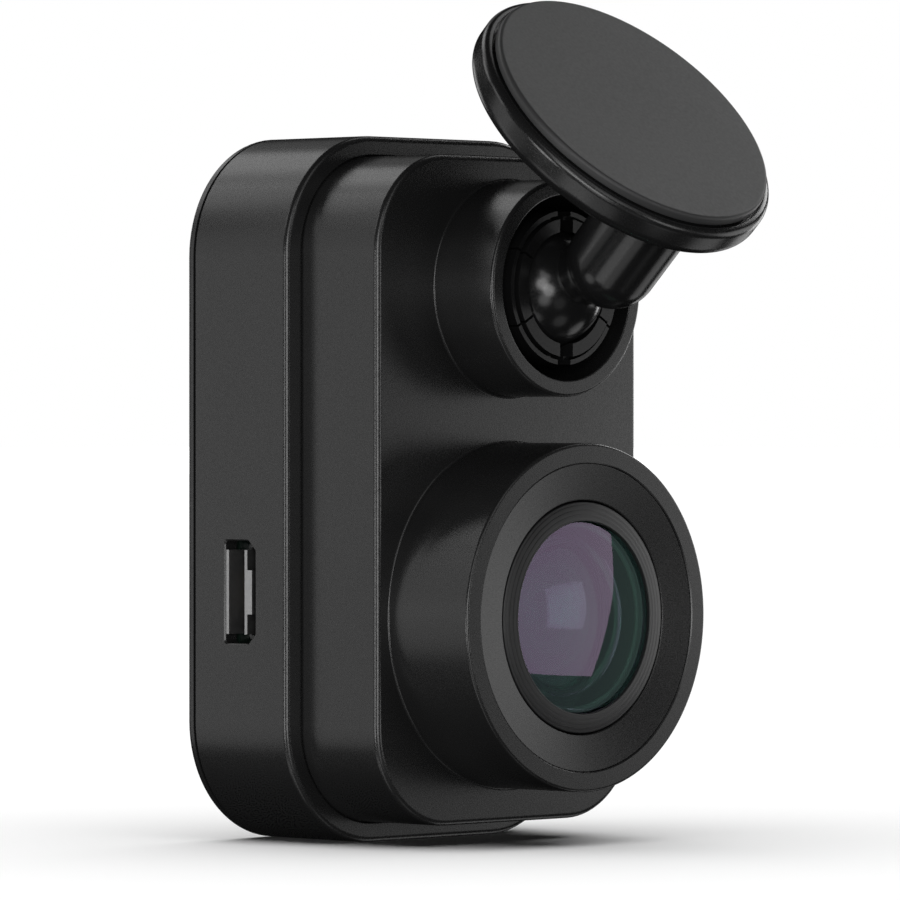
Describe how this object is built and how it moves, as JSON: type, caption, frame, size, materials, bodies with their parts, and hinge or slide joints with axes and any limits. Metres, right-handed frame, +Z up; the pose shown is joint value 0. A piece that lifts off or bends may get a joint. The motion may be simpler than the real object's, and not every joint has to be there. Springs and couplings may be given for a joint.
{
  "type": "dash camera",
  "caption": "Compact dash camera: rounded two-stage case, protruding lens barrel, and a ball-jointed round adhesive windscreen mount.",
  "frame": {"origin": "centre of the flat underside of the rear housing", "axes": "+Z up along the case's height, the lens looks along -Y, +X is across the case"},
  "size_m": [0.0314, 0.0398, 0.063],
  "materials": {
    "shell_plastic": "fine moulded grain",
    "bezel_plastic": "satin",
    "lens_black": "satin anodised",
    "optical_glass": "coated",
    "filter_glass": "coated",
    "holder_plastic": "moulded",
    "collet_plastic": "satin acetal",
    "liner_plastic": "natural acetal",
    "stud_plastic": "polished ball",
    "plate_plastic": "satin",
    "adhesive": "smooth film",
    "spring_steel": "plain",
    "screw_steel": "zinc plated",
    "socket_steel": "nickel plated",
    "contact_gold": "gold plated",
    "shield_steel": "tin plated",
    "board_laminate": "solder mask",
    "chip_epoxy": "moulded",
    "sensor_glass": "polished",
    "flex_film": "polyimide",
    "battery_film": "pouch foil",
    "foam": "closed cell",
    "button_plastic": "satin",
    "light_acrylic": "diffusing",
    "lamp_resin": "resin",
    "card_plastic": "printed film"
  },
  "bodies": {
    "camera": {"front_housing": "shell_plastic", "rear_housing": "shell_plastic", "rear_cover": "shell_plastic", "lens_bezel": "bezel_plastic", "lens_retaining_ring": "lens_black", "lens_barrel": "lens_black", "lens_spacer": "lens_black", "aperture_stop": "lens_black", "front_lens": "optical_glass", "second_lens": "optical_glass", "rear_lens": "optical_glass", "infrared_filter": "filter_glass", "lens_holder": "holder_plastic", "card_socket": "holder_plastic", "power_socket_tongue": "holder_plastic", "microphone_gasket": "holder_plastic", "ball_collet": "collet_plastic", "disc_spring": "spring_steel", "socket_plate": "spring_steel", "housing_screws": "screw_steel", "board_screws": "screw_steel", "camera_screws": "screw_steel", "socket_screws": "screw_steel", "power_socket_shell": "socket_steel", "power_socket_contacts": "contact_gold", "shield_can": "shield_steel", "main_board": "board_laminate", "sensor_board": "board_laminate", "processor_chip": "chip_epoxy", "wireless_antenna": "chip_epoxy", "save_switch": "chip_epoxy", "menu_switch": "chip_epoxy", "speaker": "chip_epoxy", "microphone": "chip_epoxy", "image_sensor": "sensor_glass", "sensor_flex": "flex_film", "backup_battery": "battery_film", "battery_foam": "foam", "light_guides": "light_acrylic", "indicator_lamps": "lamp_resin"},
    "socket_cup": {"ball_cup": "collet_plastic"},
    "socket_liner": {"friction_liner": "liner_plastic"},
    "mount": {"ball_stud": "stud_plastic", "mount_plate": "plate_plastic", "mount_screw": "screw_steel", "adhesive_pad": "adhesive"},
    "save_key": {"save_button": "button_plastic"},
    "menu_key": {"menu_button": "button_plastic"},
    "card": {"memory_card": "card_plastic"}
  },
  "joints": [
    {"name": "mount_roll", "type": "hinge", "parent": "camera", "child": "socket_cup", "pos_m": [0, -0.01685, 0.04159], "axis": [0, 1, 0], "range_deg": [-75, 75]},
    {"name": "mount_swing", "type": "hinge", "parent": "socket_cup", "child": "socket_liner", "pos_m": [0, -0.01685, 0.04159], "axis": [0, 0, 1], "range_deg": [-12, 12]},
    {"name": "mount_tilt", "type": "hinge", "parent": "socket_liner", "child": "mount", "pos_m": [0, -0.01685, 0.04159], "axis": [1, 0, 0], "range_deg": [-5, 35]},
    {"name": "save_press", "type": "slide", "parent": "camera", "child": "save_key", "axis": [0, -1, 0], "range_m": [0, 0.0003], "stiffness_N_per_m": 600, "springref_m": -0.0015},
    {"name": "menu_press", "type": "slide", "parent": "camera", "child": "menu_key", "axis": [0, -1, 0], "range_m": [0, 0.0003], "stiffness_N_per_m": 600, "springref_m": -0.0015},
    {"name": "card_slide", "type": "slide", "parent": "camera", "child": "card", "axis": [1, 0, 0], "range_m": [-0.0006, 0.0135]}
  ]
}
